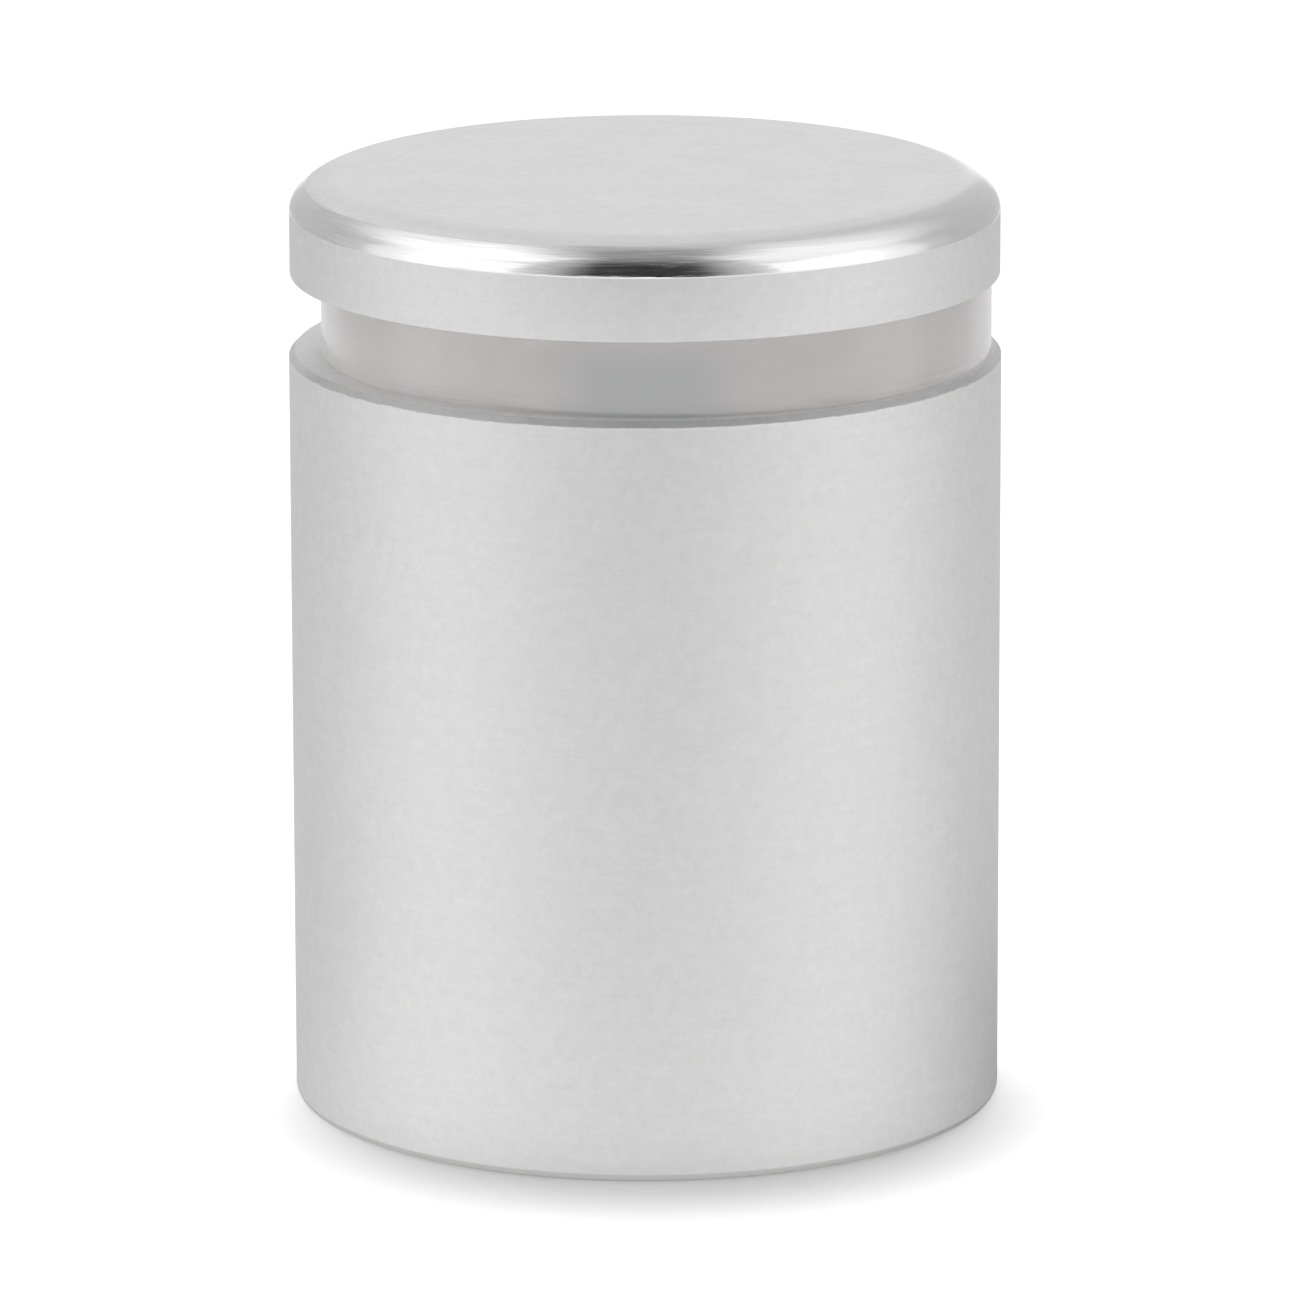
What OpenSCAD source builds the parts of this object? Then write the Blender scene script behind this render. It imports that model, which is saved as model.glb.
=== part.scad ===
// Glass panel standoff.
// A turned barrel stands between the wall and the panel. Two soft clear washers
// grip the panel's faces, and a cap on a threaded stud screws down on them.
// Sizes are in millimetres. The turning axis is Z and the barrel's foot is on z = 0.

/* [Barrel] */
// Diameter of the barrel
barrel_d = 25.4; // [24:0.1:60]
// Length of the barrel, from its foot to its mouth
barrel_h = 27.3; // [26:0.1:100]
// Edge break round the mouth
mouth_break = 0.2; // [0.1:0.05:0.8]
// Edge break round the foot
foot_break = 0.3; // [0.1:0.05:1]
// Depth of the thread in the foot, which takes the wall fixing
wall_thread_depth = 10; // [4:0.5:11]

/* [Washers] */
// Diameter of both washers
washer_d = 23.9; // [16:0.1:24.4]
// Thickness of each washer
washer_t = 1.4; // [0.5:0.1:4]
// Hole in both washers, wider than the stud
washer_hole_d = 9.4; // [9:0.1:12]
// How far both washers have slipped sideways on the stud
washer_slip = 0.4; // [0:0.05:0.45]

/* [Cap] */
// Diameter of the cap
cap_d = 25.3; // [20:0.1:60]
// Thickness of the cap
cap_h = 3.5; // [3.3:0.05:4.6]
// Height of the cap's straight side, below the rounded shoulder
cap_side_h = 2.25; // [1.9:0.05:2.4]
// How far the shoulder reaches in from the side
shoulder_w = 1.8; // [1.4:0.05:4]
// Radius of the tight arc where the shoulder leaves the side
shoulder_r = 0.85; // [0.3:0.05:0.85]
// Edge break round the cap's underside
cap_break = 0.15; // [0.05:0.05:0.4]

/* [Stud] */
// Nominal diameter of the thread
thread_d = 8; // [6:0.5:8]
// Pitch of the thread
thread_pitch = 1.25; // [0.75:0.05:1.25]
// Length of the stud
stud_l = 20; // [12:0.5:20]
// Depth of the stud's blind hole in the cap
cap_hole_depth = 2.5; // [1:0.1:2.6]

/* [Hidden] */
// A circle with more sides than 12 is a true circle in the solid
$fn = 180;
// Cuts run past the faces that they open through
over = 1;
// Radial play between the stud and its tapped holes
thread_play = 0.06;
// Gap under the stud's tip when the cap is screwed right down
tip_gap = 0.6;
// A metric thread's tapping drill is one pitch smaller than the thread
tap_drill_d = thread_d - thread_pitch;
thread_depth = thread_pitch * 0.6134;
// The stud's crests are a little under the nominal size, the tapped holes a little over
stud_d = thread_d - thread_play;
tapped_d = thread_d + thread_play;
hole_countersink = 0.5;

upper_washer_z = barrel_h + washer_t;
cap_z = upper_washer_z + washer_t;
stud_z = cap_z + cap_hole_depth - stud_l;
stud_hole_depth = barrel_h - stud_z + tip_gap;

// The shoulder is two arcs that share a tangent: a tight one off the side, and a
// wide one that runs level into the flat top.
shoulder_h = cap_h - cap_side_h;
crown_r = (pow(shoulder_w - shoulder_r, 2) + pow(shoulder_h, 2) - pow(shoulder_r, 2))
    / (2 * (shoulder_h - shoulder_r));
flat_r = cap_d / 2 - shoulder_w;
tight_centre = [cap_d / 2 - shoulder_r, cap_side_h];
crown_centre = [flat_r, cap_h - crown_r];

// A turned bar that stands on z = 0, with a chamfer round each end
module turned_bar(d, h, low_break, high_break) {
    rotate_extrude()
        polygon([
            [0, 0],
            [d / 2 - low_break, 0],
            [d / 2, low_break],
            [d / 2, h - high_break],
            [d / 2 - high_break, h],
            [0, h]
        ]);
}

// A tapped hole that opens downwards at z = 0, with a countersunk mouth
module tapped_hole(depth, countersink) {
    translate([0, 0, -over])
        cylinder(d = tapped_d, h = depth + over);
    translate([0, 0, -over])
        cylinder(
            d1 = tapped_d + 2 * (countersink + over),
            d2 = tapped_d,
            h = countersink + over
        );
}

// The tap's tapered lead, from the full thread down to the drilled hole
module tap_lead(z) {
    translate([0, 0, z])
        cylinder(d1 = tapped_d, d2 = tap_drill_d, h = (tapped_d - tap_drill_d) / 2);
}

// The barrel: a bar drilled right through at the tapping size and tapped from both
// ends, the foot for the wall fixing and the mouth for the stud
module barrel() {
    color("silver")
        difference() {
            turned_bar(barrel_d, barrel_h, foot_break, mouth_break);
            translate([0, 0, -over])
                cylinder(d = tap_drill_d, h = barrel_h + 2 * over);
            tapped_hole(wall_thread_depth, hole_countersink);
            tap_lead(wall_thread_depth);
            translate([0, 0, barrel_h])
                mirror([0, 0, 1])
                    tapped_hole(stud_hole_depth, hole_countersink);
        }
}

// One washer, cut from clear soft sheet, lying slipped to one side on z = 0
module washer() {
    translate([washer_slip, 0, 0])
        difference() {
            cylinder(d = washer_d, h = washer_t);
            translate([0, 0, -over])
                cylinder(d = washer_hole_d, h = washer_t + 2 * over);
        }
}

// The washer between the barrel and the panel
module lower_washer() {
    color([0.86, 0.85, 0.84, 0.7])
        translate([0, 0, barrel_h])
            washer();
}

// The washer between the panel and the cap
module upper_washer() {
    color([0.86, 0.85, 0.84, 0.7])
        translate([0, 0, upper_washer_z])
            washer();
}

// The stud: a length of threaded rod, chamfered to the thread's root at both ends
module stud() {
    color("gray")
        translate([0, 0, stud_z])
            turned_bar(stud_d, stud_l, thread_depth, thread_depth);
}

// Half of the cap's section: the side, the two arcs of the shoulder and the flat top
module cap_section() {
    polygon([
        [0, 0],
        [cap_d / 2 - cap_break, 0],
        [cap_d / 2, cap_break],
        [cap_d / 2, cap_side_h],
        [0, cap_side_h]
    ]);
    square([flat_r, cap_h]);
    translate(tight_centre)
        circle(r = shoulder_r);
    intersection() {
        translate(crown_centre)
            circle(r = crown_r);
        polygon([
            crown_centre,
            crown_centre + 2 * (tight_centre - crown_centre) * crown_r / norm(tight_centre - crown_centre),
            crown_centre + [0, 2 * crown_r]
        ]);
    }
}

// The cap, with a blind tapped hole in its underside for the stud
module cap() {
    color("silver")
        translate([0, 0, cap_z])
            difference() {
                rotate_extrude()
                    cap_section();
                tapped_hole(cap_hole_depth, hole_countersink / 2);
            }
}

barrel();
lower_washer();
upper_washer();
stud();
cap();
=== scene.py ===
# %% [markdown]
# # A glass panel standoff
#
# A standoff holds a sheet of glass off a wall. A turned aluminium barrel stands on
# the wall, two soft clear washers grip the glass, and a cap on a threaded stud screws
# down on them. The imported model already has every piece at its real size. This
# notebook turns each piece again with finer edges and real threads, gives it the
# finish of the real metal or plastic, and lights it.

import math

import bmesh
import bpy
from mathutils import Matrix, Vector


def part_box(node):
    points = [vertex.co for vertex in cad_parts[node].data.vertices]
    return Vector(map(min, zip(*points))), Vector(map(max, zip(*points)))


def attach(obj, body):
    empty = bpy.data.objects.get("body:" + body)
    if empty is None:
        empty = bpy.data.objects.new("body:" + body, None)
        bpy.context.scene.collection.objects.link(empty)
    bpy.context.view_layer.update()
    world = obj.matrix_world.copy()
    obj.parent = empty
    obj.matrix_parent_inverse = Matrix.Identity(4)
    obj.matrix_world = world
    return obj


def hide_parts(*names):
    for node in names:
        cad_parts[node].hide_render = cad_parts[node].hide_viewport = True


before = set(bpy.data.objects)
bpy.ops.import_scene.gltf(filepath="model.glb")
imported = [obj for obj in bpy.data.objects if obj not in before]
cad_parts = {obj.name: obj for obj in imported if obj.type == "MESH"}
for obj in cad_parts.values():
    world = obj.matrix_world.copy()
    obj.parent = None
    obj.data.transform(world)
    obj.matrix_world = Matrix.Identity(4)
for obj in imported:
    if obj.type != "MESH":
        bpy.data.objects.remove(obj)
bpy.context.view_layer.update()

# %% [markdown]
# ## Sizes
#
# The place and outer size of each piece could be typed in again. They are read from
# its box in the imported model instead, so a change there is followed here. A box can't
# say how large an edge break or a hole is, so those few sizes are written down where
# they are needed, in millimetres, and turned into metres.

# %% Read the sizes
MM = 0.001


class Span:
    """A turned piece's axis, radius and ends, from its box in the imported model."""

    def __init__(self, node):
        low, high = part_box(node)
        self.axis_x = (low.x + high.x) / 2
        self.radius = (high.x - low.x) / 2
        self.low = low.z
        self.high = high.z


barrel = Span("barrel")
lower_washer = Span("lower_washer")
upper_washer = Span("upper_washer")
stud = Span("stud")
cap = Span("cap")

for name, span in (("barrel", barrel), ("washer", lower_washer), ("stud", stud), ("cap", cap)):
    print(f"{name}: {2 * span.radius / MM:.2f} mm across, "
          f"z {span.low / MM:.2f} to {span.high / MM:.2f} mm")

# %% [markdown]
# ## The camera
#
# A short lens close by would spread the barrel's sides. A long lens from further off, a
# little above the piece, keeps them almost parallel and shows the cap's top as a slim
# ellipse. The camera is leaned a hair to one side, as a hand-set camera is.

# %% Place the camera
CAMERA_DISTANCE = 375 * MM
CAMERA_ELEVATION = math.radians(13.63)
CAMERA_ROLL = math.radians(-0.136)
CAMERA_LENS_MM = 289.1
SENSOR_MM = 36
AIM = Vector((0.148 * MM, 0, 16.15 * MM))
NEAREST_SEEN = 10 * MM
FARTHEST_SEEN = 5.0


def place_camera():
    """Makes the scene's camera, aimed at the middle of the piece."""
    data = bpy.data.cameras.new("camera")
    data.sensor_width = SENSOR_MM
    data.lens = CAMERA_LENS_MM
    data.clip_start = NEAREST_SEEN
    data.clip_end = FARTHEST_SEEN
    camera = bpy.data.objects.new("camera", data)
    bpy.context.scene.collection.objects.link(camera)
    back = Vector((0, -math.cos(CAMERA_ELEVATION), math.sin(CAMERA_ELEVATION)))
    lean = Matrix.Rotation(CAMERA_ROLL, 3, "Z").to_quaternion()
    camera.location = AIM + CAMERA_DISTANCE * back
    camera.rotation_mode = "QUATERNION"
    camera.rotation_quaternion = back.to_track_quat("Z", "Y") @ lean
    bpy.context.scene.camera = camera
    return camera


camera = place_camera()
print("camera at", [round(v, 4) for v in camera.location], "m")

# %% [markdown]
# ## Turning on a lathe
#
# Every hard piece here was turned from bar, so each is modelled as a turner would
# draw it: half of its section, spun once round the axis. The section could be a typed
# list of points. A pen that draws straight lines and arcs says more about the piece,
# and Blender's own extrude and spin operators do its work: spinning one vertex draws
# an arc, and spinning the whole outline makes the solid.

# %% A pen for half sections
TURN_STEPS = 256
ARC_STEPS = 8
WELD = 0.001 * MM


class Section:
    """Draws half of a turned piece's section in the plane y = 0, x being the radius."""

    def __init__(self, radius, z):
        self.mesh = bmesh.new()
        self.start = self.mesh.verts.new((radius, 0, z))
        self.tip = self.start

    def line(self, radius, z):
        """Draws a straight line to a radius and a height."""
        made = bmesh.ops.extrude_vert_indiv(self.mesh, verts=[self.tip])
        self.tip = made["verts"][0]
        self.tip.co = (radius, 0, z)

    def arc(self, centre_radius, centre_z, degrees, steps=ARC_STEPS):
        """Draws an arc round a centre; positive degrees run anticlockwise."""
        made = bmesh.ops.spin(
            self.mesh, geom=[self.tip], cent=(centre_radius, 0, centre_z),
            axis=(0, -1, 0), angle=math.radians(degrees), steps=steps)
        self.tip = next(g for g in made["geom_last"] if isinstance(g, bmesh.types.BMVert))

    def close(self):
        """Joins the last point to the first."""
        self.mesh.edges.new((self.tip, self.start))

    def turn(self, axis_x=0.0):
        """Spins the outline into a solid and moves it to its axis."""
        mesh = self.mesh
        bmesh.ops.spin(
            mesh, geom=mesh.verts[:] + mesh.edges[:], cent=(0, 0, 0), axis=(0, 0, 1),
            angle=math.tau, steps=TURN_STEPS, use_merge=True)
        bmesh.ops.remove_doubles(mesh, verts=mesh.verts, dist=WELD)
        bmesh.ops.recalc_face_normals(mesh, faces=mesh.faces)
        bmesh.ops.translate(mesh, verts=mesh.verts, vec=(axis_x, 0, 0))
        return mesh


trial = Section(MM, 0)
trial.arc(0, 0, 90)
print("a quarter arc from (1, 0) ends at", [round(v / MM, 3) for v in trial.tip.co], "mm")
trial.mesh.free()

# %% [markdown]
# ## From a mesh to a piece
#
# A turned piece has soft curves and crisp corners. Shading it all flat shows every
# facet, and shading it all smooth smears the corners. So every face is smooth, and an
# edge stays sharp where its two faces meet at more than a set angle. Each piece then
# rides on its body, so that it moves with the joint, and hides the plain node that it
# stands for.

# %% A finished mesh as an object that rides on its body
SMOOTH_DEGREES = 38


def add_piece(name, mesh, body, node, material):
    """Makes the object, hides the node that it stands for and gives it its material."""
    for face in mesh.faces:
        face.smooth = True
    for edge in mesh.edges:
        bend = edge.calc_face_angle(0) if len(edge.link_faces) == 2 else math.pi
        edge.smooth = bend < math.radians(SMOOTH_DEGREES)
    data = bpy.data.meshes.new(name)
    mesh.to_mesh(data)
    mesh.free()
    data.materials.append(material)
    piece = bpy.data.objects.new(name, data)
    bpy.context.scene.collection.objects.link(piece)
    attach(piece, body)
    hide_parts(node)
    data.calc_loop_triangles()
    print(f"{name}: {len(data.loop_triangles)} triangles, rides on {body}")


print("edges that bend by", SMOOTH_DEGREES, "degrees or more stay sharp")

# %% [markdown]
# ## Screw threads
#
# The stud is an 8 mm metric thread. A bump map would fake it, but its edge shows
# whenever the cap is unscrewed, so it is real geometry. The spin operator takes a
# rise for each step, which turns a spin into a screw. One pitch of the thread's flank
# is screwed up the axis, each turn is welded to the next, and two planes cut the ends
# square.

# %% Screw a profile up the axis
THREAD_PITCH = 1.25 * MM
THREAD_STEPS = 72


def screw(points, low, high, crest_z, joined):
    """Screws a profile of (radius, z) points up the axis, from low to high."""
    mesh = bmesh.new()
    turns_below = math.ceil((crest_z - low) / THREAD_PITCH) + 1
    turns = turns_below + math.ceil((high - crest_z) / THREAD_PITCH) + 1
    base = crest_z - turns_below * THREAD_PITCH
    verts = [mesh.verts.new((radius, 0, base + z)) for radius, z in points]
    for first, second in zip(verts, verts[1:]):
        mesh.edges.new((first, second))
    if not joined:
        mesh.edges.new((verts[-1], verts[0]))
    bmesh.ops.spin(
        mesh, geom=mesh.verts[:] + mesh.edges[:], cent=(0, 0, 0), axis=(0, 0, 1),
        dvec=(0, 0, THREAD_PITCH / THREAD_STEPS), angle=math.tau, steps=THREAD_STEPS)
    one_turn = mesh.verts[:] + mesh.edges[:] + mesh.faces[:]
    for turn in range(1, turns):
        copied = bmesh.ops.duplicate(mesh, geom=one_turn)["geom"]
        bmesh.ops.translate(
            mesh, verts=[g for g in copied if isinstance(g, bmesh.types.BMVert)],
            vec=(0, 0, turn * THREAD_PITCH))
    bmesh.ops.remove_doubles(mesh, verts=mesh.verts, dist=WELD)
    for height, side in ((low, -1), (high, 1)):
        everything = mesh.verts[:] + mesh.edges[:] + mesh.faces[:]
        bmesh.ops.bisect_plane(
            mesh, geom=everything, plane_co=(0, 0, height), plane_no=(0, 0, side),
            clear_outer=True)
    bmesh.ops.holes_fill(mesh, edges=[e for e in mesh.edges if e.is_boundary])
    bmesh.ops.recalc_face_normals(mesh, faces=mesh.faces)
    return mesh


def hold_radius(mesh, limit):
    """Trims a thread to a cone: limit(z) gives the least and greatest radius there."""
    for vert in mesh.verts:
        radius = math.hypot(vert.co.x, vert.co.y)
        least, most = limit(vert.co.z)
        wanted = min(max(radius, least), most)
        if radius > 0:
            vert.co.x *= wanted / radius
            vert.co.y *= wanted / radius


print(f"a turn of thread rises {THREAD_PITCH / MM} mm in {THREAD_STEPS} steps")

# %% [markdown]
# ## Two matching thread forms
#
# The stud's flank runs from a flat root out to a flat crest and back. The tapped holes
# could be left smooth, because little of them shows. They get the matching ridge
# instead, half a pitch out of step with the stud and with a little play, so that the
# two stay in mesh as the cap turns and rises. The ridge starts just inside the wall of
# the hole, so no gap opens behind it.

# %% The flank of the stud and the ridge of the hole
CREST_RADIUS = stud.radius
ROOT_RADIUS = 3.25 * MM
HALF_CREST = THREAD_PITCH / 16
HALF_BASE = THREAD_PITCH * 3 / 8
FLANK_SLOPE = (HALF_BASE - HALF_CREST) / (CREST_RADIUS - ROOT_RADIUS)
FLANK_CUTS = 4
TAPPED_RADIUS = 4.03 * MM
SUNK_RADIUS = TAPPED_RADIUS + 0.02 * MM
RIDGE_TIP_RADIUS = 3.40 * MM
RIDGE_PLAY = 0.04 * MM


def stud_thread():
    """One pitch of the stud's flank, from root to crest and back to root."""
    points = [(ROOT_RADIUS, -THREAD_PITCH / 2)]
    for i in range(FLANK_CUTS + 1):
        up = i / FLANK_CUTS
        points.append((
            ROOT_RADIUS + up * (CREST_RADIUS - ROOT_RADIUS),
            -HALF_BASE + up * (HALF_BASE - HALF_CREST)))
    points += [(radius, -z) for radius, z in reversed(points)]
    return points


def ridge_thread():
    """The ridge in a tapped hole: it fills the stud's groove, less a little play."""
    half_groove = THREAD_PITCH / 2 - HALF_BASE
    tip = half_groove + FLANK_SLOPE * (RIDGE_TIP_RADIUS - ROOT_RADIUS) - RIDGE_PLAY
    base = tip + FLANK_SLOPE * (SUNK_RADIUS - RIDGE_TIP_RADIUS)
    return [
        (SUNK_RADIUS, -base), (RIDGE_TIP_RADIUS, -tip),
        (RIDGE_TIP_RADIUS, tip), (SUNK_RADIUS, base)]


print(f"flank: {len(stud_thread())} points from {ROOT_RADIUS / MM:.2f} to "
      f"{CREST_RADIUS / MM:.2f} mm; ridge: {len(ridge_thread())} points")

# %% [markdown]
# ## Shader arithmetic
#
# A finish is mostly arithmetic on coordinates: a mask here, a streak there. Wiring
# each sum by hand hides the idea, so a small class wraps one socket and lets Python's
# own signs add the Math nodes. One more method makes any other node, and the rest are
# short names for the nodes that a finish uses most.

# %% A socket that does sums
COLOUR_A, COLOUR_B, COLOUR_OUT = 6, 7, 2
HALF_TURN = 180
BUMP_DEPTH = 0.05 * MM


def set_stops(ramp, stops):
    """Gives a ramp its levels: its two own stops take the first and the last."""
    ramp.interpolation = "EASE"
    for degrees, level in stops[1:-1]:
        ramp.elements.new(degrees / HALF_TURN).color = (level, level, level, 1)
    for end in (0, -1):
        level = stops[end][1]
        ramp.elements[end].color = (level, level, level, 1)


class Signal:
    """One socket of a node tree, so that shader maths reads as plain arithmetic."""

    def __init__(self, tree, socket=None):
        self.tree = tree
        self.socket = socket

    def node(self, kind, settings=None, inputs=None, output=0):
        """Adds a node: its settings first, then the values or links of its sockets."""
        made = self.tree.nodes.new(kind)
        for key, value in (settings or {}).items():
            if key == "stops":
                set_stops(made.color_ramp, value)
            else:
                setattr(made, key, value)
        for key, value in (inputs or {}).items():
            if isinstance(value, Signal):
                self.tree.links.new(value.socket, made.inputs[key])
            else:
                made.inputs[key].default_value = value
        return Signal(self.tree, made.outputs[output] if made.outputs else None)

    def outputs(self, *names):
        """The named outputs of the node that the signal comes from."""
        return [Signal(self.tree, self.socket.node.outputs[name]) for name in names]

    def maths(self, operation, *values):
        """Adds a Math node that works on numbers and signals."""
        return self.node("ShaderNodeMath", {"operation": operation}, dict(enumerate(values)))

    def __add__(self, other):
        return self.maths("ADD", self, other)

    def __sub__(self, other):
        return self.maths("SUBTRACT", self, other)

    def __rsub__(self, other):
        return self.maths("SUBTRACT", other, self)

    def __mul__(self, other):
        return self.maths("MULTIPLY", self, other)

    def __truediv__(self, other):
        return self.maths("DIVIDE", self, other)

    def __rtruediv__(self, other):
        return self.maths("DIVIDE", other, self)

    def __abs__(self):
        return self.maths("ABSOLUTE", self)

    __radd__ = __add__
    __rmul__ = __mul__

    def ease(self, low, high, start=0.0, end=1.0):
        """Goes smoothly from start to end as the signal goes from low to high."""
        return self.node(
            "ShaderNodeMapRange", {"interpolation_type": "SMOOTHSTEP"},
            {"Value": self, "From Min": low, "From Max": high, "To Min": start, "To Max": end})

    def noise(self, size, detail=2.0, roughness=0.5):
        """Noise with features about size metres wide, from 0 to 1 with a mean of a half."""
        return self.node(
            "ShaderNodeTexNoise", {"noise_dimensions": "3D"},
            {"Vector": self, "Scale": 1 / size, "Detail": detail, "Roughness": roughness})

    def swing(self, amount):
        """Noise as a swing about zero, half of amount to either side."""
        return (self - 0.5) * amount

    def ramp(self, stops):
        """Runs a half turn, given as 0 to 1, through levels listed as (degrees, level)."""
        return self.node("ShaderNodeValToRGB", {"stops": stops}, {"Fac": self})

    def mix(self, first, second):
        """Goes from the first colour to the second as the signal goes from 0 to 1."""
        first, second = (c if isinstance(c, Signal) else (*c, 1) for c in (first, second))
        return self.node(
            "ShaderNodeMix", {"data_type": "RGBA"},
            {0: self, COLOUR_A: first, COLOUR_B: second}, COLOUR_OUT)

    def bump(self, strength):
        """Tilts the surface's normal by the signal, read as a height."""
        return self.node(
            "ShaderNodeBump", inputs={"Height": self, "Strength": strength, "Distance": BUMP_DEPTH})


trial = bpy.data.node_groups.new("trial", "ShaderNodeTree")
1 - Signal(trial).maths("SQRT", 2)
print("1 - sqrt(2) adds the nodes", [node.operation for node in trial.nodes])
bpy.data.node_groups.remove(trial)

# %% [markdown]
# ## Materials on coordinates
#
# An image would have to be unwrapped and painted for each piece. Here a finish is
# worked out at each point from where the point lies on the piece, in metres, so its
# grain and its worn edges come out at their real size. Whatever is the same all over
# is set on the shader once. Only what varies is linked.

# %% A material from fixed and varying sockets
class Place:
    """The point of the piece that is being shaded, in metres."""

    def __init__(self, blank):
        self.point = blank.node("ShaderNodeTexCoord", output="Object")
        split = blank.node("ShaderNodeSeparateXYZ", inputs={"Vector": self.point})
        self.x, self.y, self.z = split.outputs("X", "Y", "Z")

    def distance(self, centre=(0, 0)):
        """How far the point lies from an upright line through a centre."""
        x = self.x - centre[0]
        y = self.y - centre[1]
        return x.maths("SQRT", x * x + y * y)

    def drawn_out(self, share, across):
        """A point with its x and y shrunk to a share, where noise draws long streaks."""
        return self.point.node(
            "ShaderNodeCombineXYZ",
            inputs={"X": self.x * share, "Y": self.y * share, "Z": across})


def make_material(name, fixed, varying):
    """Makes a Principled material. varying(signal) returns what changes over the surface."""
    material = bpy.data.materials.new(name)
    material.use_nodes = True
    tree = material.node_tree
    shader = tree.nodes["Principled BSDF"]
    for key, value in fixed.items():
        shader.inputs[key].default_value = value
    for key, signal in varying(Signal(tree)).items():
        tree.links.new(signal.socket, shader.inputs[key])
    print(f"{name}: {len(tree.nodes)} nodes")
    return material


trial = make_material("trial", {}, lambda blank: {"Roughness": Place(blank).distance() / MM})
bpy.data.materials.remove(trial)

# %% [markdown]
# ## Satin aluminium
#
# The bar is etched and clear-anodised. Up close that is a field of tiny pits that
# scatter light evenly, so the metal looks pale and soft, with no mirror image. A plain
# rough metal would look too clean, so a fine grain shifts its colour, roughness and
# bump, faint lines run round it where the tool went, and a slow cloud varies it over a
# few millimetres. A face across the end of the bar is painted paler, as painted light
# for the light that falls on it from above.

# %% The satin finish
SATIN_DARK = (0.605, 0.605, 0.603)
SATIN_LIGHT = (0.855, 0.855, 0.853)
# Painted light: faces across the end of the bar are painted paler than the sides, for the light
# from above.
TOP_LIT_DARK = (0.73, 0.73, 0.728)
TOP_LIT_LIGHT = (0.99, 0.99, 0.988)
SATIN_ROUGHNESS = 0.62
SATIN_BUMP = 0.08
GRAIN_SIZE = 0.5 * MM
CLOUD_SIZE = 4.0 * MM
TURNED_WIDTH = 0.12 * MM
TURNED_SHARE = 0.03
GRAIN_SHADE = 0.72
TURNED_SHADE = 0.16
CLOUD_SHADE = 0.12
GRAIN_GLOSS = 0.12
CLOUD_GLOSS = 0.05
GRAIN_HEIGHT = 0.8
TURNED_HEIGHT = 0.2


def satin(at, radius):
    """What every satin face shares: its shade, its roughness and its grain's height."""
    grain = at.point.noise(GRAIN_SIZE, detail=4.0, roughness=0.9)
    cloud = at.point.noise(CLOUD_SIZE)
    turned = at.drawn_out(TURNED_SHARE, radius + at.z).noise(TURNED_WIDTH)
    shade = grain * GRAIN_SHADE + turned * TURNED_SHADE + cloud * CLOUD_SHADE
    roughness = SATIN_ROUGHNESS + grain.swing(GRAIN_GLOSS) + cloud.swing(CLOUD_GLOSS)
    return shade, roughness, grain * GRAIN_HEIGHT + turned * TURNED_HEIGHT


print(f"satin: grain of {GRAIN_SIZE / MM} mm, clouds of {CLOUD_SIZE / MM} mm")

# %% [markdown]
# ## The barrel's finish
#
# The barrel is satin all over but for three places that were worked afterwards. Its
# mouth was faced, and that top face is painted paler, as painted light from above. The
# mouth's edge was broken with a tool; the break is painted as a dark, slightly ragged
# line, a painted shadow that fades out at the left and right sides, with a trace of
# bright burr under it. The foot's edge was deburred and is painted darker, a painted
# shade for the dark floor contact that it mirrors. These could be separate faces with
# their own materials, but then each would end in a ruled line. Masks in radius and
# height, pushed about by a noise, give the line its uneven border.

# %% The barrel's finish
MOUTH_BREAK = 0.2 * MM
FOOT_BREAK = 0.3 * MM
FACED_SKIN = (0.05 * MM, 0.01 * MM)
FACED_ROUGHER = 0.04
# Painted shadow along the mouth's broken edge:
CUT_SHADOW_DARK = (0.48, 0.48, 0.48)
CUT_SHADOW_LIGHT = (0.66, 0.66, 0.66)
CUT_SOFT = 0.03 * MM
CUT_SIDES = (2.5 * MM, 5.5 * MM)
CUT_SIDE_SHADOW = 0.15
SPECK_SIZE = 0.55 * MM
RAGGED = 0.25 * MM
RIM_SOFT = 0.02 * MM
BURR_BRIGHT = (0.90, 0.90, 0.90)
BURR_REACH = (0.12 * MM, 0.02 * MM)
BURR_SPECKS = (0.56, 0.66)
BURR_HEIGHT = 3
# Painted shade on the foot's edge, for the dark floor contact that it mirrors:
FOOT_PAINTED_SHADE = (0.58, 0.58, 0.575)
FOOT_TOP = (1.0, 0.75)
FOOT_INNER = (1.2, 0.9)


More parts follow.
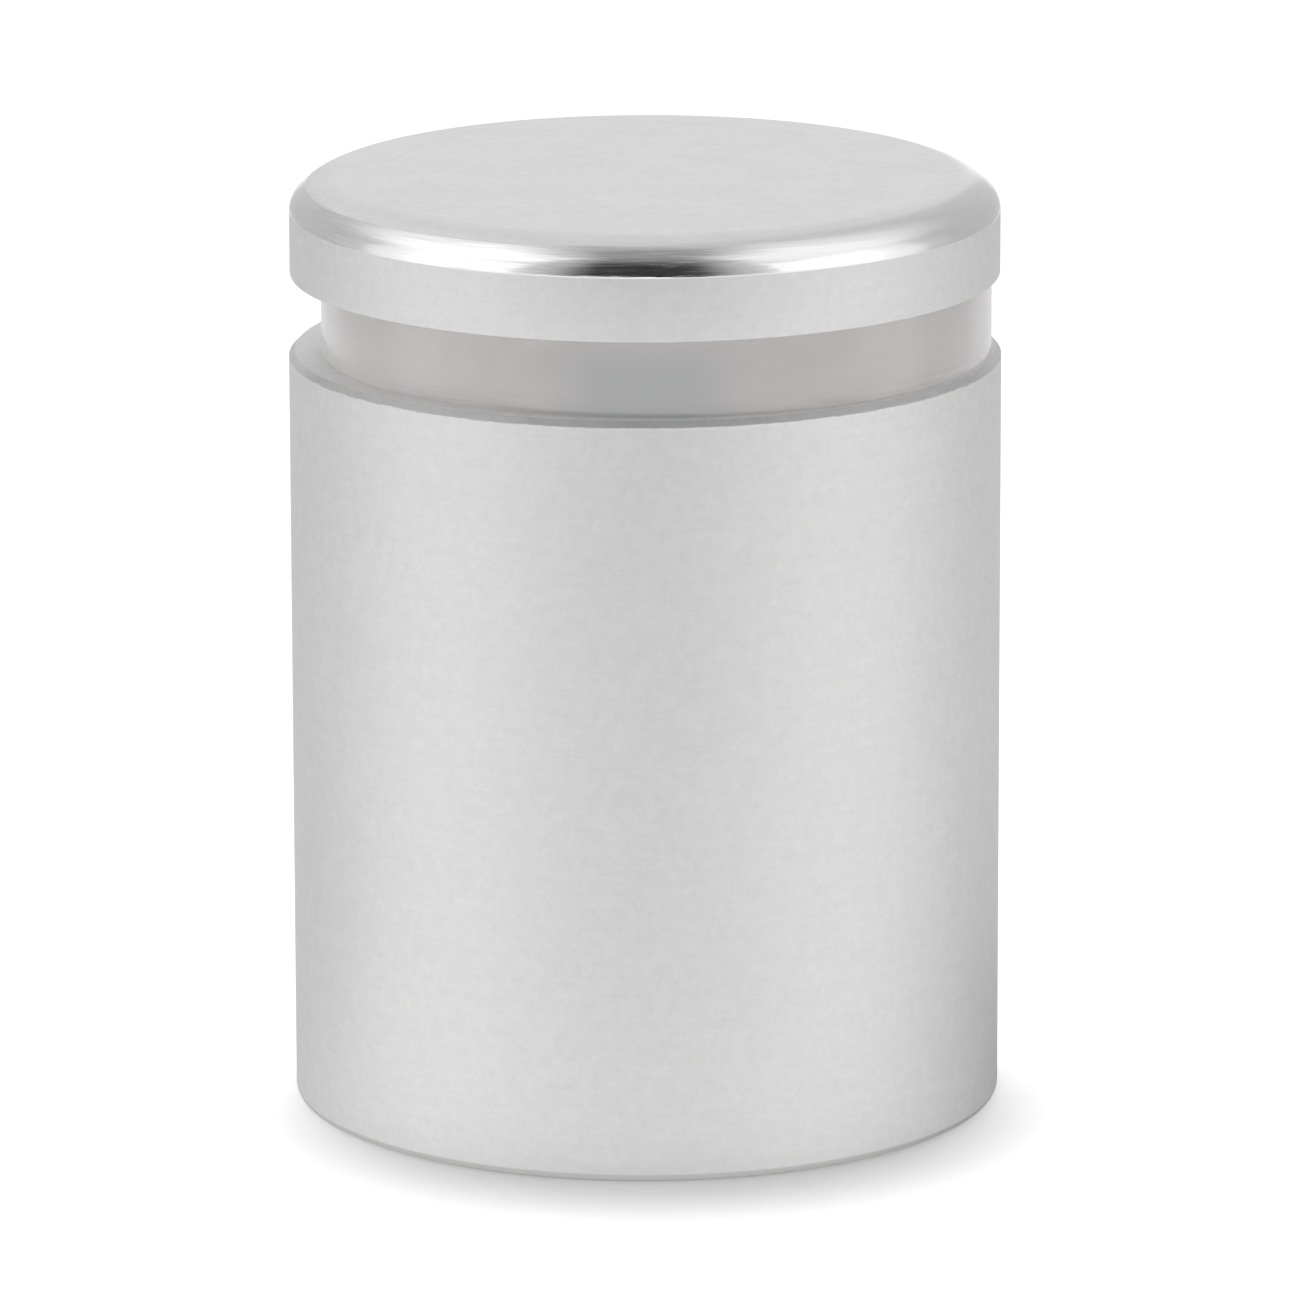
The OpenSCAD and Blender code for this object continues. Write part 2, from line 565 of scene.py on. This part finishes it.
def barrel_finish(blank):
    """Satin, with a mouth painted paler, a cut edge painted dark with burr and a foot edge painted
    dark: painted light and shade.
    """
    at = Place(blank)
    radius = at.distance()
    shade, roughness, height = satin(at, radius)
    corner = barrel.high - MOUTH_BREAK
    rim_radius = barrel.radius - MOUTH_BREAK
    rim = radius.ease(rim_radius - RIM_SOFT, rim_radius)
    top_face = at.z.ease(barrel.high - FACED_SKIN[0], barrel.high - FACED_SKIN[1]) * (1 - rim)
    speck = at.point.noise(SPECK_SIZE, detail=4.0, roughness=0.7)
    ragged = at.z + speck.swing(RAGGED)
    cut = rim * ragged.ease(corner - CUT_SOFT, corner)
    # Painted shadow: the mouth's broken edge is painted as a dark ragged line, which fades out at
    # the left and right sides.
    cut_shadow = cut * abs(at.y).ease(*CUT_SIDES, CUT_SIDE_SHADOW, 1.0)
    mouth = rim * at.z.ease(corner - BURR_REACH[0], corner - BURR_REACH[1]) * (1 - cut)
    burr = mouth * speck.ease(*BURR_SPECKS)
    # Painted shade: the foot's broken edge is painted darker, for the dark floor contact that it
    # mirrors.
    foot = at.z.ease(*(FOOT_BREAK * share for share in FOOT_TOP)) * \
        radius.ease(*(barrel.radius - FOOT_BREAK * share for share in FOOT_INNER))
    # Painted light: the barrel's top face takes the paler top colour.
    satin_and_lit_top = top_face.mix(shade.mix(SATIN_DARK, SATIN_LIGHT), shade.mix(TOP_LIT_DARK, TOP_LIT_LIGHT))
    edged = cut_shadow.mix(burr.mix(satin_and_lit_top, BURR_BRIGHT), speck.mix(CUT_SHADOW_DARK, CUT_SHADOW_LIGHT))
    return {
        "Base Color": foot.mix(edged, FOOT_PAINTED_SHADE),
        "Roughness": roughness + top_face * FACED_ROUGHER,
        "Normal": (height + mouth * speck * BURR_HEIGHT).bump(SATIN_BUMP)}


barrel_metal = make_material("barrel_satin", {"Metallic": 1.0}, barrel_finish)

# %% [markdown]
# ## The polished shoulder
#
# After anodising, the cap's shoulder is polished bright on a wheel while the cap
# spins. That leaves a crisp lower line where the wheel began, fine streaks that run
# round the cap, and a soft upper edge that reaches further in on one side, because the
# cap sat a little out of true. A second material would make both lines hard. A mask in
# height and in distance from a shifted centre finds the shoulder, and noise that is
# drawn out round the axis makes the streaks.

# %% The cap's finish
CAP_SIDE_HEIGHT = 2.25 * MM
POLISHED_DARK = (0.79, 0.79, 0.79)
POLISHED_LIGHT = (0.91, 0.91, 0.91)
POLISHED_ROUGHNESS = 0.13
POLISH_LINE = (-0.02 * MM, 0.03 * MM)
POLISH_CENTRE = (-0.30 * MM, -0.06 * MM)
POLISH_INNER_RADIUS = cap.radius - 0.90 * MM
SOFT_FROM, SOFT_TO = -3 * MM, 0.8 * cap.radius
SOFT_WIDTHS = (0.12 * MM, 0.9 * MM)
STREAK_WIDTH = 0.09 * MM
STREAK_SHARE = 0.05
STREAK_HEIGHT = 0.8
STREAK_FADE = 8 * MM
STREAK_DEPTHS = (0.8, 0.25)
RIPPLE_WIDTH = 0.20 * MM
RIPPLE_SHARE = 0.07
RIPPLE_HEIGHT = 4.5
BLOTCH_SIZE = 2.2 * MM
BLOTCH_SHADE = 0.25
CAP_FACED = (0.9 * MM, 0.3 * MM)


def cap_finish(blank):
    """Satin side, a top painted paler as painted light, and a polished shoulder between them."""
    at = Place(blank)
    radius = at.distance()
    shade, satin_roughness, grain = satin(at, radius)
    line_z = cap.low + CAP_SIDE_HEIGHT
    above_line = at.z.ease(*(line_z + offset for offset in POLISH_LINE))
    softness = at.x.ease(SOFT_FROM, SOFT_TO, *SOFT_WIDTHS)
    inside = (at.distance(POLISH_CENTRE) - POLISH_INNER_RADIUS) / softness
    polish = inside.ease(-0.5, 0.5) * above_line
    streak = at.drawn_out(STREAK_SHARE, radius - at.z).noise(
        STREAK_WIDTH, detail=3.0, roughness=0.7)
    ripple = at.drawn_out(RIPPLE_SHARE, radius - at.z).noise(RIPPLE_WIDTH)
    top_face = at.z.ease(*(cap.high - depth for depth in CAP_FACED))
    blotch = at.point.noise(BLOTCH_SIZE, detail=3.0)
    top_shade = shade + blotch.swing(BLOTCH_SHADE)
    # Painted light: the cap's top takes the paler top colour.
    pale = top_face.mix(shade.mix(SATIN_DARK, SATIN_LIGHT), top_shade.mix(TOP_LIT_DARK, TOP_LIT_LIGHT))
    streak_depth = at.x.ease(0, STREAK_FADE, *STREAK_DEPTHS)
    bright_roughness = POLISHED_ROUGHNESS + streak.swing(streak_depth)
    relief = (streak * STREAK_HEIGHT + ripple * RIPPLE_HEIGHT) * streak_depth
    return {
        "Base Color": polish.mix(pale, streak.mix(POLISHED_DARK, POLISHED_LIGHT)),
        "Roughness": satin_roughness * (1 - polish) + bright_roughness * polish,
        "Normal": (grain * (1 - polish) + relief * polish).bump(SATIN_BUMP)}


cap_metal = make_material("cap_satin", {"Metallic": 1.0}, cap_finish)

# %% [markdown]
# ## The clear washers
#
# The washers are soft vinyl, milky rather than clear. Light enters at the rim,
# scatters, bounces between the two metal faces and comes out again, so the band glows
# softly. Rough transmission mixed with a pale body colour gives that at little cost,
# and a thin coat stands for the film of plasticiser that makes soft vinyl shine. The
# stud shows through only as a grey shadow behind the front of the rim. Tracing light
# through a milky body would be slow, so that shadow is a soft patch in the colour.

# %% The washer material
WASHER_DARK = (0.755, 0.732, 0.726)
WASHER_LIGHT = (0.945, 0.918, 0.911)
WASHER_TINT = (1.0, 0.88, 0.85, 1.0)
WASHER_ROUGHNESS = 0.17
WASHER_BUMP = 0.12
HAZE_SIZE = 1.5 * MM
HAZE_SHADE = 0.6
HAZE_GLOSS = 0.12
HAZE_HEIGHT = 0.5
SHEAR_WIDTH = 0.16 * MM
SHEAR_SHARE = 0.06
SHEAR_SHADE = 0.25
SHEAR_HEIGHT = 0.5
BASE_SHADE = 0.15
# Painted shade: how much darker the washer is painted where it meets the barrel; its streaks grow
# stronger there too.
BARREL_PAINTED_SHADE = 0.95
BARREL_SHEAR = 1.8
BARREL_BAND = (0.7 * MM, 0.1 * MM)
# Painted light: how much paler the washer is painted towards its left side, and over what reach.
LEFT_LIGHT_SHADE = 0.4
LEFT_LIGHT_REACH = 10 * MM
STUD_SHADE = (0.700, 0.732, 0.748)
SHADE_CORE = 0.3
SHADE_FRONT = 0.8
SHADE_TOP = 0.35


def washer_finish(blank):
    """Milky vinyl with sheared streaks, painted shade by the barrel, painted light on its left and
    a painted stud shadow in front.
    """
    at = Place(blank)
    haze = at.point.noise(HAZE_SIZE, detail=3.0)
    shear = at.drawn_out(SHEAR_SHARE, at.z).noise(SHEAR_WIDTH, detail=3.0)
    # Painted shade: a band where the washer meets the barrel is painted darker, with stronger
    # streaks in it.
    near_barrel = at.z.ease(*(lower_washer.low + height for height in BARREL_BAND))
    # Painted light: the washer is painted paler towards its left, for the light that falls on it
    # from the left.
    painted_left_light = at.x.ease(-LEFT_LIGHT_REACH, 0, LEFT_LIGHT_SHADE, 0)
    streaks = shear * (SHEAR_SHADE + near_barrel * BARREL_SHEAR)
    shade = haze * HAZE_SHADE + streaks + BASE_SHADE - near_barrel * BARREL_PAINTED_SHADE + painted_left_light
    middle = abs(at.x).ease(stud.radius, stud.radius * SHADE_CORE)
    front = at.y.ease(0, -lower_washer.radius * SHADE_FRONT)
    low_down = at.z.ease(upper_washer.high, upper_washer.low, SHADE_TOP, 1.0)
    stud_shadow = middle * front * low_down
    return {
        "Base Color": stud_shadow.mix(shade.mix(WASHER_DARK, WASHER_LIGHT), STUD_SHADE),
        "Roughness": WASHER_ROUGHNESS + haze.swing(HAZE_GLOSS),
        "Normal": (haze * HAZE_HEIGHT + shear * SHEAR_HEIGHT).bump(WASHER_BUMP)}


vinyl = make_material(
    "washer_vinyl",
    {"Transmission Weight": 0.28, "IOR": 1.55, "Specular IOR Level": 1.0,
     "Specular Tint": WASHER_TINT, "Coat Weight": 1.0, "Coat Roughness": 0.12,
     "Metallic": 0.0},
    washer_finish)

# %% [markdown]
# ## Zinc plate
#
# The stud is steel with a thin bright zinc plate: a cool grey with patches of crystal,
# paler and glossier on the crests, where it has been turned in and out of the barrel.
# The distance from the axis tells crest from root, so no second material is needed.

# %% The stud's plating
ZINC_DARK = (0.44, 0.45, 0.47)
ZINC_LIGHT = (0.64, 0.65, 0.66)
ZINC_ROUGHNESS = 0.42
ZINC_BUMP = 0.1
CRYSTAL_SIZE = 0.6 * MM
CRYSTAL_SHADE = 0.7
CRYSTAL_GLOSS = 0.2
CREST_SHADE = 0.3
CREST_POLISH = 0.14


def stud_finish(blank):
    """Crystal patches of zinc, worn bright on the crests."""
    at = Place(blank)
    crystal = at.point.noise(CRYSTAL_SIZE, detail=4.0, roughness=0.6)
    crest = at.distance().ease(ROOT_RADIUS, CREST_RADIUS)
    shade = crystal * CRYSTAL_SHADE + crest * CREST_SHADE
    return {
        "Base Color": shade.mix(ZINC_DARK, ZINC_LIGHT),
        "Roughness": ZINC_ROUGHNESS + crystal.swing(CRYSTAL_GLOSS) - crest * CREST_POLISH,
        "Normal": crystal.bump(ZINC_BUMP)}


zinc = make_material("stud_zinc", {"Metallic": 1.0}, stud_finish)

# %% [markdown]
# ## The barrel
#
# The barrel is drilled right through and tapped from both ends. A boolean could cut
# the holes, but it would leave long thin faces, so the outline runs once round the half
# section: foot, side, mouth, and back down the hole. The foot's edge is an arc, because
# it was deburred round. The mouth is faced last and its edge is a flat break, cut with
# a tool after anodising.

# %% Turn the barrel
HOLE_COUNTERSINK = 0.5 * MM
DRILLED_RADIUS = 3.375 * MM
WALL_THREAD_DEPTH = 10.0 * MM
TIP_GAP = 0.6 * MM
SIDE_CUTS = 4
HOLE_FLOOR = stud.low - TIP_GAP


def turn_barrel():
    """Turns the barrel, with its stepped hole."""
    outer, top = barrel.radius, barrel.high
    side_height = top - MOUTH_BREAK - FOOT_BREAK
    lead_end = WALL_THREAD_DEPTH + TAPPED_RADIUS - DRILLED_RADIUS
    section = Section(TAPPED_RADIUS + HOLE_COUNTERSINK, 0)
    section.line(outer - FOOT_BREAK, 0)
    section.arc(outer - FOOT_BREAK, FOOT_BREAK, 90)
    for step in range(1, SIDE_CUTS + 1):
        section.line(outer, FOOT_BREAK + side_height * step / SIDE_CUTS)
    section.line(outer - MOUTH_BREAK, top)
    section.line(TAPPED_RADIUS + HOLE_COUNTERSINK, top)
    section.line(TAPPED_RADIUS, top - HOLE_COUNTERSINK)
    section.line(TAPPED_RADIUS, HOLE_FLOOR)
    section.line(DRILLED_RADIUS, HOLE_FLOOR)
    section.line(DRILLED_RADIUS, lead_end)
    section.line(TAPPED_RADIUS, WALL_THREAD_DEPTH)
    section.line(TAPPED_RADIUS, HOLE_COUNTERSINK)
    section.close()
    return section.turn()


barrel_mesh = turn_barrel()
print("barrel turned:", len(barrel_mesh.faces), "faces before its threads")

# %% [markdown]
# ## The tapped holes
#
# Each tapped hole gets its ridge as a thin closed screw that overlaps the wall of the
# hole. Uniting the two with a boolean would take long and gain nothing, because the
# overlap is hidden inside the metal. At its open end the ridge is trimmed to a cone, so
# that it fades into the countersink as a tapped thread does.

# %% Add the ridges
RIDGE_FADE = 0.3 * MM
RIDGE_OUT = 0.1 * MM
RIDGE_UP = 0.05 * MM


def tapped_ridge(low, high, open_end):
    """The ridge of a tapped hole, trimmed to the countersink at its open end."""
    mesh = screw(ridge_thread(), low, high, stud.low + THREAD_PITCH / 2, joined=False)

    def countersink(z):
        least = max(RIDGE_TIP_RADIUS, SUNK_RADIUS + RIDGE_FADE - abs(z - open_end))
        return min(TAPPED_RADIUS, least), SUNK_RADIUS

    hold_radius(mesh, countersink)
    return mesh


def add_to(mesh, other):
    """Moves another bmesh into the first."""
    carrier = bpy.data.meshes.new("carrier")
    other.to_mesh(carrier)
    other.free()
    mesh.from_mesh(carrier)
    bpy.data.meshes.remove(carrier)


mouth_end = barrel.high - HOLE_COUNTERSINK + RIDGE_OUT
foot_end = HOLE_COUNTERSINK - RIDGE_OUT
add_to(barrel_mesh, tapped_ridge(HOLE_FLOOR + RIDGE_UP, mouth_end, mouth_end))
add_to(barrel_mesh, tapped_ridge(foot_end, WALL_THREAD_DEPTH, foot_end))
add_piece("turned_barrel", barrel_mesh, "barrel", "barrel", barrel_metal)

# %% [markdown]
# ## The washers
#
# Each washer is stamped from sheet. A plain ring would lie flat on the metal. The punch
# drags the rims down a hair, so the washer touches the metal there and leaves a film of
# air between, which is also what lets light travel along inside it. The hole is wider
# than the stud, and both washers have slipped the same way.

# %% Turn the two washers
WASHER_HOLE_RADIUS = 4.7 * MM
DRAGGED_WIDTH = 0.3 * MM
AIR_GAP = 0.02 * MM


def turn_washer(span, metal_end, washer_end):
    """Turns a washer: one face rests on metal by its rims, the other on the next washer."""
    outer, inner = span.radius, WASHER_HOLE_RADIUS
    hollow = metal_end + math.copysign(AIR_GAP, washer_end - metal_end)
    section = Section(inner, metal_end)
    section.line(inner + DRAGGED_WIDTH, hollow)
    section.line(outer - DRAGGED_WIDTH, hollow)
    section.line(outer, metal_end)
    section.line(outer, washer_end)
    section.line(inner, washer_end)
    section.close()
    return section.turn(span.axis_x)


add_piece(
    "vinyl_washer_lower", turn_washer(lower_washer, lower_washer.low, lower_washer.high),
    "barrel", "lower_washer", vinyl)
add_piece(
    "vinyl_washer_upper", turn_washer(upper_washer, upper_washer.high, upper_washer.low),
    "upper_washer", "upper_washer", vinyl)

# %% [markdown]
# ## The cap
#
# A single round on the shoulder would end in a visible line where it meets the flat
# top. The real shoulder is softer, so it is drawn as two arcs that share a tangent, a
# tight one off the side and a wide one that runs level into the top, and a reflection
# slides over it with no break.

# %% Turn the cap
CAP_BREAK = 0.05 * MM
CAP_HOLE_DEPTH = 2.5 * MM
CAP_COUNTERSINK = HOLE_COUNTERSINK / 2
SHOULDER_WIDTH = 1.8 * MM
SHOULDER_RADIUS = 0.85 * MM
BREAK_STEPS = 6
SHOULDER_STEPS = 16


def turn_cap():
    """Turns the cap. The crown is the radius of the wide arc that meets the tight one."""
    outer, low, top = cap.radius, cap.low, cap.high
    line_z = low + CAP_SIDE_HEIGHT
    rise = top - line_z
    reach = SHOULDER_WIDTH - SHOULDER_RADIUS
    crown = (reach ** 2 + rise ** 2 - SHOULDER_RADIUS ** 2) / (2 * (rise - SHOULDER_RADIUS))
    flat = outer - SHOULDER_WIDTH
    meet = math.degrees(math.atan2(crown - rise, reach))
    section = Section(0, low + CAP_HOLE_DEPTH)
    section.line(TAPPED_RADIUS, low + CAP_HOLE_DEPTH)
    section.line(TAPPED_RADIUS, low + CAP_COUNTERSINK)
    section.line(TAPPED_RADIUS + CAP_COUNTERSINK, low)
    section.line(outer - CAP_BREAK, low)
    section.arc(outer - CAP_BREAK, low + CAP_BREAK, 90, BREAK_STEPS)
    section.line(outer, line_z)
    section.arc(outer - SHOULDER_RADIUS, line_z, meet, SHOULDER_STEPS)
    section.arc(flat, top - crown, 90 - meet, SHOULDER_STEPS)
    section.line(flat / 2, top)
    section.line(0, top)
    return section.turn()


add_piece("turned_cap", turn_cap(), "cap", "cap", cap_metal)

# %% [markdown]
# ## The stud
#
# The stud's thread is cut square at both ends. A real one is chamfered down to its
# root, so that it starts easily in the hole. A bevel would have to follow the helix, so
# the vertices near each end are drawn in to a cone instead.

# %% Cut the stud
def cut_stud():
    """Screws the stud's thread and chamfers both of its ends."""
    mesh = screw(stud_thread(), stud.low, stud.high, stud.low + THREAD_PITCH, joined=True)
    hold_radius(mesh, lambda z: (0, ROOT_RADIUS + min(z - stud.low, stud.high - z)))
    return mesh


add_piece("threaded_stud", cut_stud(), "cap", "stud", zinc)

# %% [markdown]
# ## The white paper
#
# The piece stands on a sheet of white paper that seems to run on without end. Lighting
# a real sheet until it turns white would bleach the piece too. So the paper glows a
# little on its own, but only for two kinds of ray. The camera sees it white, fading
# into the piece's own soft shadow and a painted shadow, where the glow is held back
# round a centre a little in front of the foot. Metal and plastic mirror a fainter
# sheet, whose glow is held back near the foot as painted shade. Past a set reach the
# paper is gone for every ray but the camera's, as if it lay on a small table.

# %% Where the paper glows
PAPER_GLOW = 0.56
SHADOW_GLOW = 0.02
SHADOW_CENTRE = (0.3 * MM, -4.3 * MM)
SHADOW_REACH = 7.6 * MM
MIRRORED_GLOW = 0.10
MIRRORED_FROM, MIRRORED_TO = 5 * MM, -12 * MM
NEAR_FOOT_REACH = 3 * MM
NEAR_FOOT_GLOW = 0.72


def ray_kinds(blank):
    """Whether a ray comes from the camera, and whether a mirror or clear body sent it."""
    camera_ray, glossy_ray, clear_ray = blank.node("ShaderNodeLightPath").outputs(
        "Is Camera Ray", "Is Glossy Ray", "Is Transmission Ray")
    return camera_ray, blank.maths("MAXIMUM", glossy_ray, clear_ray)


def paper_glow(at, camera_ray, mirrored):
    """How strongly the paper glows for the camera and in mirrors."""
    # Painted shadow: for the camera the glow is held back round a centre set a little in front of
    # the foot; in mirrors it is held back near the foot as painted shade.
    inner = barrel.radius + SHADOW_CENTRE[1]
    for_camera = at.distance(SHADOW_CENTRE).ease(
        inner, inner + SHADOW_REACH, SHADOW_GLOW, PAPER_GLOW)
    near_foot = at.distance().ease(
        barrel.radius, barrel.radius + NEAR_FOOT_REACH, NEAR_FOOT_GLOW, 1.0)
    for_metal = at.y.ease(MIRRORED_FROM, MIRRORED_TO, MIRRORED_GLOW, PAPER_GLOW) * near_foot
    return for_camera * camera_ray + for_metal * mirrored


print(f"the shadow fades over {SHADOW_REACH / MM} mm")

# %% [markdown]
# ## The floor
#
# A square sheet would show its corners in polished metal, so the paper is a round
# sheet, far wider than the view. Its colour has a faint fibre and, in mirrors only, a
# darker patch to the right of the foot, a painted shadow of the piece on the paper. A
# diffuse shader and an emission shader are added up, and a third, clear one takes over
# below the sheet and past its edge.

# %% Lay the paper
FLOOR_RADIUS = 2.0
FLOOR_SEGMENTS = 96
PAPER_WHITE = (0.90, 0.90, 0.90)
PAPER_DIM = (0.88, 0.88, 0.88)
# The colour of a painted shadow on the paper, seen only in mirrors.
PAPER_PAINTED_SHADOW = (0.42, 0.42, 0.42)
FIBRE_SIZE = 0.5 * MM
# Where that painted shadow centres, and how far it reaches.
MIRRORED_SHADOW_SPOT = (17 * MM, 3 * MM)
MIRRORED_SHADOW_REACH = (20 * MM, 6 * MM)
PAPER_REACH = 0.28
PAPER_EDGE = 0.85
SIDE_SQUEEZE = 5.0


def paper_material():
    """White paper that glows for the camera and ends for everything else."""
    material = bpy.data.materials.new("white_paper")
    material.use_nodes = True
    tree = material.node_tree
    tree.nodes.clear()
    blank = Signal(tree)
    at = Place(blank)
    camera_ray, mirrored = ray_kinds(blank)
    fibre = at.point.noise(FIBRE_SIZE)
    # Painted shadow: in mirrors only, the paper is painted darker round a spot to the right of the
    # foot.
    shaded = at.distance(MIRRORED_SHADOW_SPOT).ease(*MIRRORED_SHADOW_REACH) * mirrored
    colour = shaded.mix(fibre.mix(PAPER_DIM, PAPER_WHITE), PAPER_PAINTED_SHADOW)
    paper = blank.node("ShaderNodeBsdfDiffuse", inputs={"Color": colour})
    shine = blank.node(
        "ShaderNodeEmission", inputs={"Strength": paper_glow(at, camera_ray, mirrored)})
    lit = blank.node("ShaderNodeAddShader", inputs={0: paper, 1: shine})
    below = blank.node("ShaderNodeNewGeometry", output="Backfacing")
    reach = blank.maths("SQRT", at.x * at.x * SIDE_SQUEEZE + at.y * at.y)
    beyond = reach.ease(PAPER_REACH * PAPER_EDGE, PAPER_REACH) * (1 - camera_ray)
    gone = blank.maths("MAXIMUM", below, beyond)
    clear = blank.node("ShaderNodeBsdfTransparent")
    shown = blank.node("ShaderNodeMixShader", inputs={0: gone, 1: lit, 2: clear})
    blank.node("ShaderNodeOutputMaterial", inputs={"Surface": shown})
    return material


def lay_floor():
    """Makes the round sheet and puts it in the scene."""
    mesh = bmesh.new()
    bmesh.ops.create_circle(
        mesh, cap_ends=True, segments=FLOOR_SEGMENTS, radius=FLOOR_RADIUS)
    data = bpy.data.meshes.new("paper_floor")
    mesh.to_mesh(data)
    mesh.free()
    data.materials.append(paper_material())
    floor = bpy.data.objects.new("paper_floor", data)
    bpy.context.scene.collection.objects.link(floor)


lay_floor()
print(f"paper floor: {2 * FLOOR_RADIUS} m across")

# %% [markdown]
# ## The soft boxes
#
# Satin metal shows its form only by how the light falls off round it. A soft box on
# each side lights the barrel from both edges, and the gap between them, in front, leaves
# its middle a shade darker. A lamp's power is spread over its area, so the power is
# worked out from the brightness that the box should show.

# %% Hang the soft boxes
BOX_DISTANCE = 0.60
BOX_ELEVATION = 14
BOX_WIDTH = 0.42
BOX_HEIGHT = 0.50


def soft_box(name, azimuth, radiance):
    """A rectangular lamp that faces the piece; azimuth 0 is in front, positive to the right."""
    data = bpy.data.lights.new(name, "AREA")
    data.shape = "RECTANGLE"
    data.size = BOX_WIDTH
    data.size_y = BOX_HEIGHT
    data.energy = radiance * math.pi * BOX_WIDTH * BOX_HEIGHT
    lamp = bpy.data.objects.new(name, data)
    turn = math.radians(azimuth)
    lift = math.radians(BOX_ELEVATION)
    towards = Vector((
        math.sin(turn) * math.cos(lift), -math.cos(turn) * math.cos(lift), math.sin(lift)))
    centre = Vector((0, 0, (barrel.low + cap.high) / 2))
    lamp.location = centre + towards * BOX_DISTANCE
    lamp.rotation_mode = "QUATERNION"
    lamp.rotation_quaternion = towards.to_track_quat("Z", "Y")
    lamp.visible_camera = False
    bpy.context.scene.collection.objects.link(lamp)
    print(f"{name}: {data.energy:.3f} W at {azimuth} degrees")


soft_box("left_box", -62, 0.31)
soft_box("right_box", 62, 0.29)

# %% [markdown]
# ## The studio round the piece
#
# A white tent hangs round the table, with a dark gap in front where the camera stands.
# That gap is what draws the dark band in the middle of the polished shoulder, between
# two bright ones. Walls could be built, but a world needs no geometry: its strength is
# worked out from the direction of each ray. One ramp gives the low wall round a half
# turn from the front to the back, another gives the high wall, a seam between them
# climbs towards the front, and a duller gap is left in the roof. The backdrop is white
# for the camera and in mirrors.

# %% Light the studio
LOW_TENT = (
    (0, 0.04), (16, 0.05), (34, 0.56), (44, 0.88), (62, 0.92), (84, 1.08), (95, 0.96),
    (107, 0.61), (122, 0.53), (150, 0.55), (164, 0.60), (180, 0.66))
HIGH_TENT = (
    (0, 0.14), (20, 0.17), (38, 0.42), (54, 1.15), (110, 1.18), (130, 0.94), (154, 0.66),
    (180, 0.68))
HIGH_LEFT, HIGH_RIGHT, HIGH_TURN = 1.08, 0.90, 0.6
SEAM_FRONT, SEAM_SIDE = math.radians(42), math.radians(26)
SEAM_FROM, SEAM_TO = 40 / HALF_TURN, 70 / HALF_TURN
SEAM_WIDTH = math.radians(22)
ROOF_FROM, ROOF_TO = math.radians(64), math.radians(84)
ROOF_GLOW = 0.33
BACK_FROM, BACK_TO = 166 / HALF_TURN, 178 / HALF_TURN
BACK_TOP, BACK_FULL = math.radians(55), math.radians(25)
BACKDROP_GLOW = 0.58


def studio_world():
    """Makes the tent's light, as a world whose strength depends on the direction."""
    world = bpy.data.worlds.new("studio")
    world.use_nodes = True
    tree = world.node_tree
    tree.nodes.clear()
    blank = Signal(tree)
    direction = blank.node("ShaderNodeTexCoord", output="Generated")
    split = blank.node("ShaderNodeSeparateXYZ", inputs={"Vector": direction})
    x, y, z = split.outputs("X", "Y", "Z")
    turn = abs(blank.maths("ARCTAN2", x, y * -1)) / math.pi
    elevation = blank.maths("ARCSINE", z)
    seam = turn.ease(SEAM_FROM, SEAM_TO, SEAM_FRONT, SEAM_SIDE)
    rise = (elevation - seam).ease(0, SEAM_WIDTH)
    roof = elevation.ease(ROOF_FROM, ROOF_TO)
    high = turn.ramp(HIGH_TENT) * x.ease(-HIGH_TURN, HIGH_TURN, HIGH_LEFT, HIGH_RIGHT)
    tent = turn.ramp(LOW_TENT) * (1 - rise) + high * rise
    behind = turn.ease(BACK_FROM, BACK_TO) * elevation.ease(BACK_TOP, BACK_FULL)
    glow = tent * (1 - roof) + roof * ROOF_GLOW + behind * BACKDROP_GLOW
    camera_ray, mirrored = ray_kinds(blank)
    white = blank.maths("MAXIMUM", camera_ray, mirrored * behind)
    strength = blank.maths("MAXIMUM", glow, white)
    light = blank.node(
        "ShaderNodeBackground", inputs={"Color": (1, 1, 1, 1), "Strength": strength})
    blank.node("ShaderNodeOutputWorld", inputs={"Surface": light})
    bpy.context.scene.world = world
    print("studio world:", len(tree.nodes), "nodes")


studio_world()
bpy.context.scene.view_settings.view_transform = "Standard"
